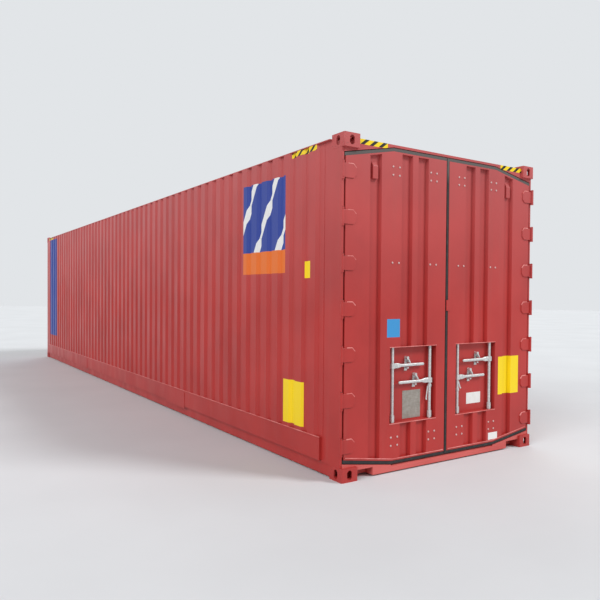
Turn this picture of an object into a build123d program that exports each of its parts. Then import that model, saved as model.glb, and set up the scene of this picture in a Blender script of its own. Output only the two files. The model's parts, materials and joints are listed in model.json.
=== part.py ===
"""Forty-foot, high-cube, pallet-wide shipping container with a flush double door.

Millimetres. The origin is on the ground under the middle of the box, +X points to the door end,
+Z is up. "Left" is the side on a person's left hand who stands outside and faces the doors (-Y).
"""
import os

from build123d import *

# Outside frame over the corner castings
LENGTH = 12192.0
WIDTH = 2438.0
HEIGHT = 2896.0

# Corner castings
CASTING_LENGTH = 178.0
CASTING_WIDTH = 162.0
CASTING_HEIGHT = 118.0
CASTING_DECK = 28.0
CASTING_WALL = 15.0
CASTING_CORNER = 7.0
SLOT_LENGTH = 124.0
SLOT_WIDTH = 63.5
SLOT_FROM_END = 103.5
SLOT_FROM_SIDE = 89.5
EYE_HEIGHT = 79.5
EYE_WIDTH = 51.0
EYE_CORNER = 16.0

# Sides of the knuckles, hubs, collars and clearance holes, and of the small pins and bores
OCTAGON = 8
PIN_SIDES = 12

# Posts, and how far the side walls bulge past them
POST_WIDTH = 20.0
POST_DEPTH = 269.0
POST_SETBACK = 31.0
WALL_BULGE = 25.0

# Levels and plates of the base and the roof
UNDER_CLEARANCE = 12.5
FLOOR_TOP = 165.0
FLOOR_THICK = 28.0
RAIL_PLATE = 6.0
RAIL_RECESS = 14.0
RAIL_FLANGE = 60.0
RAIL_TOP = 330.0
RAIL_LIP = 24.0
RAIL_EDGE = 6.0
TOP_RAIL_DROP = 34.0
TOP_RAIL_WIDTH = 60.0
TOP_RAIL_PLATE = 5.0
TOP_RAIL_CAP = 8.0

# Corrugated sheets
SHEET = 2.0
WALL_PITCH = 213.5
WALL_GROOVE_FLOOR = 50.0
WALL_GROOVE_SLOPE = 28.0
WALL_END_STRIP = 84.0
WALL_LAP = 20.0
ROOF_PITCH = 209.0
ROOF_GROOVE_DEPTH = 20.0
ROOF_GROOVE_FLOOR = 70.0
ROOF_GROOVE_SLOPE = 30.0
FRONT_PITCH = 238.0
FRONT_GROOVE_DEPTH = 45.0
FRONT_GROOVE_FLOOR = 100.0
FRONT_GROOVE_SLOPE = 30.0
FRONT_WALL_INSET = 2.0
SHEET_EDGE_FLAT = 40.0

# Lifting pads on the bottom rails
PAD_SPACING = 4876.0
PAD_LENGTH = 650.0
PAD_THICK = 4.0
PAD_HANG = 24.0
PAD_TOP_GAP = 26.0

# Cross members under the floor
CROSS_PITCH = 310.0
CROSS_FLANGE = 45.0
CROSS_PLATE = 4.5
TUNNEL_LENGTH = 3430.0
TUNNEL_HALF_WIDTH = 515.0
TUNNEL_PLATE = 6.0

# Beams across the two ends
BEAM_UPSTAND = 47.0
BEAM_SETBACK = 26.0
HEADER_TOP_DROP = 30.0
OPENING_TOP_DROP = 154.0
SILL_NOTCH_LENGTH = 186.0
SILL_NOTCH_TOP = 82.0
SILL_RAMP_DROP = 16.0
SILL_RAMP_RUN = 32.0
FRONT_BEAM_DEPTH = 60.0

# Door leaves: straight edges near the middle, corners clipped past the castings
LEAF_SETBACK = 26.0
LEAF_DEPTH = 95.0
LEAF_INNER = 19.0
LEAF_CLIP_RUN = 519.0
LEAF_BOTTOM = 105.0
LEAF_BOTTOM_OUTER = 185.0
LEAF_TOP_DROP = 86.0
LEAF_TOP_OUTER_DROP = 191.0
LEAF_LIP = 14.0
LEAF_STILE = 85.0
SKIN = 4.0
FLUTE_DEPTH = 32.0
FLUTE_SLOPE = 10.0
FLUTE_WIDTH = 127.0
FLUTE_CENTRES = (309.0, 503.0, 863.0)

# Rubber seal round each leaf
SEAL_HEIGHT = 28.0
SEAL_SIDE = 9.0
SEAL_SIDE_STEP = 22.0
SEAL_MEETING = -11.0
SEAL_GAP = 8.0
SEAL_FRONT = 3.0
SEAL_DEPTH = 42.0
SEAL_CLEARANCE = 6.0

# Hinges
HINGE_COUNT = 7
HINGE_BOTTOM = 295.0
HINGE_TOP_DROP = 311.0
HINGE_PIN_SETBACK = 12.0
HINGE_PIN_OUTBOARD = 3.0
HINGE_PIN_RADIUS = 6.0
HINGE_RUNNING_GAP = 0.05
KNUCKLE_RADIUS = 12.0
BLADE_HEIGHT = 118.0
BLADE_THICK = 9.0
BLADE_REACH = 144.0
BLADE_CORNER = 30.0
LUG_HEIGHT = 16.0
LUG_GAP = 1.0
LUG_INBOARD = 16.0

# Lock pockets with their bars and handles
POCKET_INNER = 126.0
POCKET_OUTER = 692.0
POCKET_BOTTOM = 428.0
POCKET_TOP = 1102.0
POCKET_DEPTH = 58.0
POCKET_PLATE = 4.0
BAR_INNER = 183.0
BAR_OUTER = 635.0
BAR_RADIUS = 13.5
BAR_SETBACK = 29.0
BAR_BOTTOM = 215.0
BAR_TOP_DROP = 196.0
BAR_HOLE_GAP = 3.0
BAR_RUNNING_GAP = 0.08
COLLAR_RADIUS = 20.0
COLLAR_HEIGHT = 62.0
COLLAR_LIFT = 5.0
BRACKET_HALF_WIDTH = 42.0
BRACKET_BOTTOM = 275.0
BRACKET_MIDDLE = 1842.0
BRACKET_TOP_DROP = 255.0
BRACKET_HEIGHT = 90.0
BRACKET_MIDDLE_HEIGHT = 40.0
HANDLE_INNER_LEVEL = 780.0
HANDLE_OUTER_LEVEL = 934.0
HANDLE_LENGTH = 378.0
HANDLE_HEIGHT = 26.0
HANDLE_THICK = 20.0
HANDLE_EDGE = 5.0
HANDLE_TIP = 8.0
HUB_RADIUS = 25.0
HUB_HEIGHT = 46.0
HUB_REACH = 62.0
GRIP_START = 104.0
HUB_FIT = 0.05
CATCH_ALONG = 177.0
CATCH_WIDTH = 34.0
CATCH_PLATE = 6.0
CATCH_NECK = 16.0
CATCH_UP = 78.0
CATCH_DOWN = 52.0
CATCH_GAP = 6.0
CATCH_LUG = 12.0
CATCH_KNOB_RADIUS = 14.0
LEVER_REACH = 28.0
LEVER_WIDTH = 14.0

# Small hood in the outer flute of each leaf
HOOD_WIDTH = 56.0
HOOD_HEIGHT = 150.0
HOOD_DROP = 270.0
HOOD_DEPTH = 26.0
HOOD_SLOPE = 40.0

# Plate on the right leaf over the gap between the leaves
OVERLAP_LEVEL = 1468.0
OVERLAP_HEIGHT = 100.0
OVERLAP_REACH = 52.0
OVERLAP_THICK = 6.0

# Places worked out from the sizes above
HALF_LENGTH = LENGTH / 2
HALF_WIDTH = WIDTH / 2
CASTING_TOP_Z = HEIGHT - CASTING_HEIGHT
CASTING_INNER_X = HALF_LENGTH - CASTING_LENGTH
CASTING_INNER_Y = HALF_WIDTH - CASTING_WIDTH
POST_INNER_Y = HALF_WIDTH - POST_WIDTH
POST_FRONT_X = HALF_LENGTH - POST_SETBACK
POST_BACK_X = POST_FRONT_X - POST_DEPTH
WALL_OUTER_Y = HALF_WIDTH + WALL_BULGE
WALL_GROOVE_DEPTH = WALL_BULGE - SHEET
FLOOR_BOTTOM = FLOOR_TOP - FLOOR_THICK
RAIL_WEB_Y = HALF_WIDTH - RAIL_RECESS
RAIL_LEDGE_Z = FLOOR_BOTTOM - RAIL_PLATE
ROOF_TOP_Z = HEIGHT - TOP_RAIL_DROP
TOP_RAIL_INNER_Y = HALF_WIDTH - TOP_RAIL_WIDTH
WALL_TOP_Z = ROOF_TOP_Z - TOP_RAIL_CAP
HEADER_TOP_Z = HEIGHT - HEADER_TOP_DROP
BEAM_FRONT_X = HALF_LENGTH - BEAM_SETBACK
BEAM_DEPTH = BEAM_FRONT_X - CASTING_INNER_X
UPSTAND_FRONT_X = CASTING_INNER_X + BEAM_UPSTAND
FRONT_BEAM_X = -POST_FRONT_X + FRONT_WALL_INSET
FRONT_BEAM_INNER_X = FRONT_BEAM_X + FRONT_BEAM_DEPTH
LEAF_FACE_X = HALF_LENGTH - LEAF_SETBACK
LEAF_BACK_X = LEAF_FACE_X - LEAF_DEPTH
LEAF_OUTER = POST_INNER_Y - SEAL_SIDE - SEAL_CLEARANCE
LEAF_BEND = LEAF_OUTER - LEAF_CLIP_RUN
LEAF_TOP = HEIGHT - LEAF_TOP_DROP
LEAF_TOP_OUTER = HEIGHT - LEAF_TOP_OUTER_DROP
OPENING_TOP = HEIGHT - OPENING_TOP_DROP
FLUTE_BACK_X = LEAF_FACE_X - FLUTE_DEPTH - SKIN
SEAL_BACK_X = LEAF_FACE_X - SEAL_FRONT - SEAL_DEPTH
HINGE_PIN_X = HALF_LENGTH - HINGE_PIN_SETBACK
HINGE_PIN_Y = HALF_WIDTH + HINGE_PIN_OUTBOARD
HINGE_PITCH = (HEIGHT - HINGE_BOTTOM - HINGE_TOP_DROP) / (HINGE_COUNT - 1)
BAR_X = LEAF_FACE_X - BAR_SETBACK
BAR_TOP = HEIGHT - BAR_TOP_DROP
BRACKETS = (
    (BRACKET_BOTTOM, BRACKET_HEIGHT),
    (BRACKET_MIDDLE, BRACKET_MIDDLE_HEIGHT),
    (HEIGHT - BRACKET_TOP_DROP, BRACKET_HEIGHT),
)
HOOD_LEVEL = HEIGHT - HOOD_DROP
POCKET_FLOOR_X = LEAF_FACE_X - POCKET_DEPTH
SIDES = {"left": -1, "right": 1}
BARS = {"inner": (BAR_INNER, HANDLE_INNER_LEVEL, 1), "outer": (BAR_OUTER, HANDLE_OUTER_LEVEL, -1)}

os.makedirs("parts", exist_ok=True)


def keep(piece, name):
    """Label one finished piece and write it as its own file."""
    piece.label = name
    export_step(piece, f"parts/{name}.step")


def block(x_range, y_range, z_range, mode=Mode.ADD):
    """A box between two corners, inside the part that is being built."""
    spans = (x_range, y_range, z_range)
    middle = tuple((low + high) / 2 for low, high in spans)
    with Locations(middle):
        Box(*(abs(high - low) for low, high in spans), mode=mode)


def corrugation(pitch, floor, slope, depth, end):
    """Points of a trapezoid corrugation along one axis: flats at 0, groove floors at -depth."""
    grooves = int((end - SHEET_EDGE_FLAT - floor / 2 - slope) // pitch)
    points = [(-end, 0.0)]
    for groove in range(-grooves, grooves + 1):
        middle = groove * pitch
        points.append((middle - floor / 2 - slope, 0.0))
        points.append((middle - floor / 2, -depth))
        points.append((middle + floor / 2, -depth))
        points.append((middle + floor / 2 + slope, 0.0))
    points.append((end, 0.0))
    return points


def sheet_outline(points, thick):
    """Close a bent line into a sheet of even thickness, measured across the flats."""
    back = [(along, across - thick) for along, across in reversed(points)]
    return points + back


def leaf_outline(side, grow_side=0.0, grow_middle=0.0, grow_height=0.0):
    """Corners of a door leaf in the Y-Z plane, or of a ring that stands out round it."""
    inner = side * (LEAF_INNER - grow_middle)
    outer = side * (LEAF_OUTER + grow_side)
    bend = side * LEAF_BEND
    return [
        (inner, LEAF_BOTTOM - grow_height),
        (bend, LEAF_BOTTOM - grow_height),
        (outer, LEAF_BOTTOM_OUTER - grow_height),
        (outer, LEAF_TOP_OUTER + grow_height),
        (bend, LEAF_TOP + grow_height),
        (inner, LEAF_TOP + grow_height),
    ]


def prism(plane, points, length, mode=Mode.ADD):
    """Extrude a closed outline from a plane, inside the part that is being built."""
    with BuildSketch(plane) as outline:
        with BuildLine():
            Polyline(*points, close=True)
        make_face()
    extrude(outline.sketch, amount=length, dir=plane.z_dir, mode=mode)


def casting(end, side, level):
    """One hollow corner casting, with a long slot outwards and an eye in each outer wall."""
    low = CASTING_TOP_Z if level > 0 else 0.0
    middle_x = end * (HALF_LENGTH - CASTING_LENGTH / 2)
    middle_y = side * (HALF_WIDTH - CASTING_WIDTH / 2)
    middle_z = low + CASTING_HEIGHT / 2
    deck_z = HEIGHT if level > 0 else 0.0
    with BuildPart() as corner:
        with Locations((middle_x, middle_y, middle_z)):
            Box(CASTING_LENGTH, CASTING_WIDTH, CASTING_HEIGHT)
        outside = corner.edges().filter_by(Axis.Z).sort_by_distance((end * LENGTH, side * WIDTH, middle_z))[0]
        chamfer(outside, CASTING_CORNER)
        shift = level * (CASTING_WALL - CASTING_DECK) / 2
        with Locations((middle_x, middle_y, middle_z + shift)):
            Box(
                CASTING_LENGTH - 2 * CASTING_WALL,
                CASTING_WIDTH - 2 * CASTING_WALL,
                CASTING_HEIGHT - CASTING_WALL - CASTING_DECK,
                mode=Mode.SUBTRACT,
            )
        with BuildSketch(Plane.XY.offset(deck_z)):
            with Locations((end * (HALF_LENGTH - SLOT_FROM_END), side * (HALF_WIDTH - SLOT_FROM_SIDE))):
                SlotOverall(SLOT_LENGTH, SLOT_WIDTH)
        extrude(amount=-level * CASTING_DECK, mode=Mode.SUBTRACT)
        side_face = Plane((middle_x, side * HALF_WIDTH, middle_z), x_dir=(0, 0, 1), z_dir=(0, side, 0))
        end_face = Plane((end * HALF_LENGTH, middle_y, middle_z), x_dir=(0, 0, 1), z_dir=(end, 0, 0))
        for face in (side_face, end_face):
            with BuildSketch(face):
                Rectangle(EYE_HEIGHT, EYE_WIDTH)
                chamfer(vertices(), EYE_CORNER)
            extrude(amount=-CASTING_WALL, mode=Mode.SUBTRACT)
    return corner.part


def post(end, side):
    """A slim deep corner post between the castings of one corner."""
    with BuildPart() as upright:
        block(
            (end * POST_BACK_X, end * POST_FRONT_X),
            (side * POST_INNER_Y, side * HALF_WIDTH),
            (CASTING_HEIGHT, CASTING_TOP_Z),
        )
    return upright.part


def bottom_rail(side):
    """Pressed side rail: recessed lower web, floor ledge, bulged upper web with a lip and closed ends."""
    outer = WALL_OUTER_Y
    lower = [
        (RAIL_WEB_Y - RAIL_FLANGE, UNDER_CLEARANCE),
        (RAIL_WEB_Y, UNDER_CLEARANCE),
        (RAIL_WEB_Y, CASTING_HEIGHT),
        (RAIL_WEB_Y - RAIL_PLATE, CASTING_HEIGHT),
        (RAIL_WEB_Y - RAIL_PLATE, UNDER_CLEARANCE + RAIL_PLATE),
        (RAIL_WEB_Y - RAIL_FLANGE, UNDER_CLEARANCE + RAIL_PLATE),
    ]
    upper = [
        (RAIL_WEB_Y, CASTING_HEIGHT),
        (RAIL_WEB_Y, RAIL_LEDGE_Z),
        (outer, RAIL_LEDGE_Z),
        (outer, RAIL_TOP - RAIL_PLATE),
        (outer + RAIL_EDGE, RAIL_TOP - RAIL_PLATE),
        (outer + RAIL_EDGE, RAIL_TOP),
        (outer - RAIL_LIP - RAIL_PLATE, RAIL_TOP),
        (outer - RAIL_LIP - RAIL_PLATE, RAIL_TOP - RAIL_PLATE),
        (outer - RAIL_PLATE, RAIL_TOP - RAIL_PLATE),
        (outer - RAIL_PLATE, FLOOR_BOTTOM),
        (RAIL_WEB_Y - RAIL_PLATE, FLOOR_BOTTOM),
        (RAIL_WEB_Y - RAIL_PLATE, CASTING_HEIGHT),
    ]
    with BuildPart() as rail:
        for outline, half in ((lower, CASTING_INNER_X), (upper, POST_BACK_X)):
            points = [(side * across, up) for across, up in outline]
            prism(Plane.YZ.offset(-half), points, 2 * half)
        for end in (-1, 1):
            length = (end * (POST_BACK_X - RAIL_PLATE), end * POST_BACK_X)
            block(length, (side * HALF_WIDTH, side * outer), (RAIL_LEDGE_Z, RAIL_TOP))
    return rail.part


def lifting_pads(side):
    """Two wear plates on the rail's upper web, where a lifting arm would grip."""
    outer = (side * WALL_OUTER_Y, side * (WALL_OUTER_Y + PAD_THICK))
    heights = (RAIL_LEDGE_Z - PAD_HANG, RAIL_TOP - PAD_TOP_GAP)
    with BuildPart() as pads:
        for end in (-1, 1):
            middle = end * PAD_SPACING / 2
            block((middle - PAD_LENGTH / 2, middle + PAD_LENGTH / 2), outer, heights)
    return pads.part


def top_rail(side):
    """Tube behind the top of a side wall, with a thin cap out over the edge of the sheet."""
    outer = (side * TOP_RAIL_INNER_Y, side * HALF_WIDTH)
    inner = (side * (TOP_RAIL_INNER_Y + TOP_RAIL_PLATE), side * (HALF_WIDTH - TOP_RAIL_PLATE))
    length = (-CASTING_INNER_X, CASTING_INNER_X)
    with BuildPart() as rail:
        block(length, outer, (CASTING_TOP_Z, ROOF_TOP_Z))
        hollow = (CASTING_TOP_Z + TOP_RAIL_PLATE, ROOF_TOP_Z - TOP_RAIL_PLATE)
        block(length, inner, hollow, mode=Mode.SUBTRACT)
        block(length, (side * HALF_WIDTH, side * WALL_OUTER_Y), (WALL_TOP_Z, ROOF_TOP_Z))
    return rail.part


def side_wall(side):
    """Corrugated side wall that laps the outside of the posts and of the top rail."""
    flat_end = POST_BACK_X - WALL_END_STRIP
    line = corrugation(WALL_PITCH, WALL_GROOVE_FLOOR, WALL_GROOVE_SLOPE, WALL_GROOVE_DEPTH, flat_end)
    strip = [(flat_end + WALL_GROOVE_SLOPE, -WALL_GROOVE_DEPTH), (POST_BACK_X + WALL_LAP, -WALL_GROOVE_DEPTH)]
    mirrored = [(-along, across) for along, across in reversed(strip)]
    outline = sheet_outline(mirrored + line + strip, SHEET)
    points = [(along, side * (WALL_OUTER_Y + across)) for along, across in outline]
    with BuildPart() as wall:
        prism(Plane.XY.offset(RAIL_TOP), points, WALL_TOP_Z - RAIL_TOP)
    return wall.part


def roof_sheet():
    """Roof sheet with grooves across the box, between the two top rails."""
    line = corrugation(ROOF_PITCH, ROOF_GROOVE_FLOOR, ROOF_GROOVE_SLOPE, ROOF_GROOVE_DEPTH, CASTING_INNER_X)
    points = [(along, ROOF_TOP_Z + across) for along, across in sheet_outline(line, SHEET)]
    across_box = Plane((0, TOP_RAIL_INNER_Y, 0), x_dir=(1, 0, 0), z_dir=(0, -1, 0))
    with BuildPart() as roof:
        prism(across_box, points, 2 * TOP_RAIL_INNER_Y)
    return roof.part


def front_wall():
    """Corrugated blind end between the front posts, over the front sill."""
    line = corrugation(FRONT_PITCH, FRONT_GROOVE_FLOOR, FRONT_GROOVE_SLOPE, FRONT_GROOVE_DEPTH, POST_INNER_Y)
    outline = sheet_outline(line, SHEET)
    points = [(FRONT_BEAM_X - across, along) for along, across in outline]
    with BuildPart() as wall:
        prism(Plane.XY.offset(FLOOR_TOP), points, CASTING_TOP_Z - FLOOR_TOP)
    return wall.part


def front_sill():
    """Shallow middle of the beam under the blind end, over the recess for a trailer's gooseneck."""
    with BuildPart() as sill:
        across = (-TUNNEL_HALF_WIDTH, TUNNEL_HALF_WIDTH)
        block((FRONT_BEAM_X, FRONT_BEAM_INNER_X), across, (FLOOR_BOTTOM - TUNNEL_PLATE, FLOOR_TOP))
    return sill.part


def front_sill_ends():
    """Deep ends of the beam under the blind end, beside the recess, stepped over the castings."""
    depth = (FRONT_BEAM_X, FRONT_BEAM_INNER_X)
    with BuildPart() as ends:
        for side in SIDES.values():
            block(depth, (side * TUNNEL_HALF_WIDTH, side * CASTING_INNER_Y), (UNDER_CLEARANCE, FLOOR_TOP))
            block(depth, (side * CASTING_INNER_Y, side * POST_INNER_Y), (CASTING_HEIGHT, FLOOR_TOP))
    return ends.part


def front_header():
    """Beam over the blind end, between the top castings."""
    with BuildPart() as header:
        across = (-CASTING_INNER_Y, CASTING_INNER_Y)
        block((FRONT_BEAM_X, -CASTING_INNER_X), across, (CASTING_TOP_Z, HEADER_TOP_Z))
    return header.part


def gooseneck_roof():
    """Roof plate of the gooseneck tunnel, under the front of the floor."""
    half = TUNNEL_HALF_WIDTH + TUNNEL_PLATE
    with BuildPart() as plate:
        length = (FRONT_BEAM_INNER_X, FRONT_BEAM_INNER_X + TUNNEL_LENGTH)
        block(length, (-half, half), (FLOOR_BOTTOM - TUNNEL_PLATE, FLOOR_BOTTOM))
    return plate.part


def gooseneck_sides():
    """The two side plates of the gooseneck tunnel."""
    with BuildPart() as plates:
        for side in SIDES.values():
            length = (FRONT_BEAM_INNER_X, FRONT_BEAM_INNER_X + TUNNEL_LENGTH)
            across = (side * TUNNEL_HALF_WIDTH, side * (TUNNEL_HALF_WIDTH + TUNNEL_PLATE))
            block(length, across, (UNDER_CLEARANCE + RAIL_PLATE, FLOOR_BOTTOM - TUNNEL_PLATE))
    return plates.part


def cross_members():
    """C-section cross members under the floor, cut short beside the tunnel."""
    web = RAIL_WEB_Y - RAIL_PLATE
    low = UNDER_CLEARANCE + RAIL_PLATE
    tunnel_end = FRONT_BEAM_INNER_X + TUNNEL_LENGTH
    outline = [
        (0, low),
        (CROSS_FLANGE, low),
        (CROSS_FLANGE, low + CROSS_PLATE),
        (CROSS_PLATE, low + CROSS_PLATE),
        (CROSS_PLATE, FLOOR_BOTTOM - CROSS_PLATE),
        (CROSS_FLANGE, FLOOR_BOTTOM - CROSS_PLATE),
        (CROSS_FLANGE, FLOOR_BOTTOM),
        (0, FLOOR_BOTTOM),
    ]
    count = int((CASTING_INNER_X - tunnel_end - 2 * CROSS_FLANGE) // CROSS_PITCH)
    stubs = int((TUNNEL_LENGTH - CASTING_LENGTH) // CROSS_PITCH)
    first = tunnel_end + CROSS_FLANGE
    with BuildPart() as members:
        for step in range(count):
            start = first + step * CROSS_PITCH
            points = [(start + along, up) for along, up in outline]
            prism(Plane((0, web, 0), x_dir=(1, 0, 0), z_dir=(0, -1, 0)), points, 2 * web)
        for step in range(stubs):
            start = tunnel_end - CROSS_FLANGE - (step + 0.5) * CROSS_PITCH
            points = [(start + along, up) for along, up in outline]
            length = web - TUNNEL_HALF_WIDTH - TUNNEL_PLATE
            for top in (web, -TUNNEL_HALF_WIDTH - TUNNEL_PLATE):
                prism(Plane((0, top, 0), x_dir=(1, 0, 0), z_dir=(0, -1, 0)), points, length)
    return members.part


def floor_deck():
    """Plywood floor on the ledges of the side rails, narrower between the posts."""
    with BuildPart() as floor:
        wide = WALL_OUTER_Y - RAIL_PLATE - RAIL_LIP
        heights = (FLOOR_BOTTOM, FLOOR_TOP)
        block((-POST_BACK_X, POST_BACK_X), (-wide, wide), heights)
        block((FRONT_BEAM_INNER_X, CASTING_INNER_X), (-POST_INNER_Y, POST_INNER_Y), heights)
    return floor.part


def end_beam(top):
    """Header or sill of the door end: a front fascia that follows the leaves, and an upstand behind them."""
    gap = SEAL_HEIGHT + SEAL_CLEARANCE
    bend = LEAF_BEND
    if top:
        edge, edge_outer = LEAF_TOP + gap, LEAF_TOP_OUTER + gap
        side_edge, far = CASTING_TOP_Z, HEADER_TOP_Z
        upstand = (OPENING_TOP, HEADER_TOP_Z)
    else:
        edge, edge_outer = LEAF_BOTTOM - gap, LEAF_BOTTOM_OUTER - gap
        side_edge, far = CASTING_HEIGHT, UNDER_CLEARANCE
        upstand = (UNDER_CLEARANCE, FLOOR_TOP)
    half = [(bend, edge), (POST_INNER_Y, edge_outer), (POST_INNER_Y, side_edge), (CASTING_INNER_Y, side_edge)]
    if top:
        half += [(CASTING_INNER_Y, far)]
    else:
        notch = CASTING_INNER_Y - SILL_NOTCH_LENGTH
        half += [(CASTING_INNER_Y, SILL_NOTCH_TOP), (notch, SILL_NOTCH_TOP), (notch, far)]
    outline = half + [(-across, up) for across, up in reversed(half)]
    with BuildPart() as beam:
        prism(Plane.YZ.offset(CASTING_INNER_X), outline, BEAM_DEPTH)
        block((CASTING_INNER_X, UPSTAND_FRONT_X), (-CASTING_INNER_Y, CASTING_INNER_Y), upstand)
        beside = (OPENING_TOP, CASTING_TOP_Z) if top else (CASTING_HEIGHT, FLOOR_TOP)
        block((CASTING_INNER_X, UPSTAND_FRONT_X), (-POST_INNER_Y, POST_INNER_Y), beside)
        if not top:
            ramp = [
                (BEAM_FRONT_X, edge),
                (BEAM_FRONT_X - SILL_RAMP_RUN, edge),
                (BEAM_FRONT_X, edge - SILL_RAMP_DROP),
            ]
            across = Plane((0, bend, 0), x_dir=(1, 0, 0), z_dir=(0, -1, 0))
            prism(across, ramp, 2 * bend, mode=Mode.SUBTRACT)
    return beam.part


def inset(points, amount):
    """Corners of a convex outline after each of its sides has moved inwards by an amount."""
    corners = [Vector(*point) for point in points]
    middle = sum(corners, Vector()) / len(corners)
    moved = []
    for place, corner in enumerate(corners):
        inwards = []
        for neighbour in (corners[place - 1], corners[(place + 1) % len(corners)]):
            across = (neighbour - corner).cross(Vector(0, 0, 1)).normalized()
            inwards.append(across if across.dot(middle - corner) > 0 else -across)
        spread = 1 + inwards[0].dot(inwards[1])
        moved.append(corner + (inwards[0] + inwards[1]) * (amount / spread))
    return [(corner.X, corner.Y) for corner in moved]


def frame_bar(outline, place):
    """One mitred bar of a leaf's frame, between two corners: a wide back, and a thin lip in front of it."""
    steps = ((LEAF_BACK_X, FLUTE_BACK_X, LEAF_STILE), (FLUTE_BACK_X, LEAF_FACE_X, LEAF_LIP))
    with BuildPart() as bar:
        for back, front, width in steps:
            inner = inset(outline, width)
            corners = [outline[place - 1], outline[place], inner[place], inner[place - 1]]
            prism(Plane.YZ.offset(back), corners, front - back)
    return bar.part


def door_frame(side):
    """Frame of one leaf, welded from a mitred bar along each of its sides."""
    outline = leaf_outline(side)
    return Compound([frame_bar(outline, place).solid() for place in range(len(outline))])


def door_skin(side):
    """Fluted outer sheet of one leaf, with the opening for the lock pocket."""
    start = LEAF_INNER + LEAF_LIP
    end = LEAF_OUTER - LEAF_LIP
    line = [(start, 0.0)]
    for middle in FLUTE_CENTRES:
        half = FLUTE_WIDTH / 2
        line.append((middle - half, 0.0))
        line.append((middle - half + FLUTE_SLOPE, -FLUTE_DEPTH))
        line.append((middle + half - FLUTE_SLOPE, -FLUTE_DEPTH))
        line.append((middle + half, 0.0))
    line.append((end, 0.0))
    points = [(LEAF_FACE_X + across, side * along) for along, across in sheet_outline(line, SKIN)]
    with BuildPart() as skin:
        prism(Plane.XY.offset(LEAF_BOTTOM), points, LEAF_TOP - LEAF_BOTTOM)
        with BuildSketch(Plane.YZ.offset(FLUTE_BACK_X)):
            with BuildLine():
                Polyline(*leaf_outline(side), close=True)
            make_face()
            offset(amount=-LEAF_LIP, mode=Mode.REPLACE, kind=Kind.INTERSECTION)
        extrude(amount=LEAF_FACE_X - FLUTE_BACK_X, mode=Mode.INTERSECT)
        window = (side * POCKET_INNER, side * POCKET_OUTER)
        block((FLUTE_BACK_X, LEAF_FACE_X), window, (POCKET_BOTTOM, POCKET_TOP), mode=Mode.SUBTRACT)
    return skin.part


def lock_pocket(side):
    """Pan sunk into one leaf, with clearance holes for the two bars in its floor and roof."""
    across = (side * POCKET_INNER, side * POCKET_OUTER)
    inside = (side * (POCKET_INNER + POCKET_PLATE), side * (POCKET_OUTER - POCKET_PLATE))
    with BuildPart() as pan:
        block((POCKET_FLOOR_X - POCKET_PLATE, LEAF_FACE_X), across, (POCKET_BOTTOM, POCKET_TOP))
        heights = (POCKET_BOTTOM + POCKET_PLATE, POCKET_TOP - POCKET_PLATE)
        block((POCKET_FLOOR_X, LEAF_FACE_X), inside, heights, mode=Mode.SUBTRACT)
        with BuildSketch(Plane.XY.offset(POCKET_BOTTOM)):
            with Locations((BAR_X, side * BAR_INNER), (BAR_X, side * BAR_OUTER)):
                RegularPolygon(BAR_RADIUS + BAR_HOLE_GAP, OCTAGON, major_radius=False)
        extrude(amount=POCKET_TOP - POCKET_BOTTOM, mode=Mode.SUBTRACT)
    return pan.part


def bar_brackets(side):
    """Bearing blocks behind the skin that carry the two lock bars of one leaf."""
    with BuildPart() as brackets:
        for across in (side * BAR_INNER, side * BAR_OUTER):
            width = (across - BRACKET_HALF_WIDTH, across + BRACKET_HALF_WIDTH)
            for level, height in BRACKETS:
                depth = (BAR_X - BAR_SETBACK + SKIN, LEAF_FACE_X - SKIN)
                block(depth, width, (level - height / 2, level + height / 2))
        with BuildSketch(Plane.XY.offset(BAR_BOTTOM)):
            with Locations((BAR_X, side * BAR_INNER), (BAR_X, side * BAR_OUTER)):
                RegularPolygon(BAR_RADIUS + BAR_RUNNING_GAP, PIN_SIDES, major_radius=False)
        extrude(amount=BAR_TOP - BAR_BOTTOM, mode=Mode.SUBTRACT)
    return brackets.part


def seal(side):
    """Rubber seal round one leaf: nearly flush in front, set back beside the post, wider on the right leaf."""
    middle = LEAF_INNER - side * SEAL_MEETING - SEAL_GAP / 2
    outer = leaf_outline(side, SEAL_SIDE, middle, SEAL_HEIGHT)
    front = SEAL_BACK_X + SEAL_DEPTH
    with BuildPart() as rubber:
        prism(Plane.YZ.offset(SEAL_BACK_X), outer, SEAL_DEPTH)
        prism(Plane.YZ.offset(SEAL_BACK_X), leaf_outline(side), SEAL_DEPTH, mode=Mode.SUBTRACT)
        beside = (side * LEAF_OUTER, side * (LEAF_OUTER + SEAL_SIDE))
        heights = (LEAF_BOTTOM_OUTER, LEAF_TOP_OUTER)
        block((front - SEAL_SIDE_STEP, front), beside, heights, mode=Mode.SUBTRACT)
    return rubber.part


def hinge_levels():
    """Middle heights of the hinges."""
    return [HINGE_BOTTOM + step * HINGE_PITCH for step in range(HINGE_COUNT)]


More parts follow.
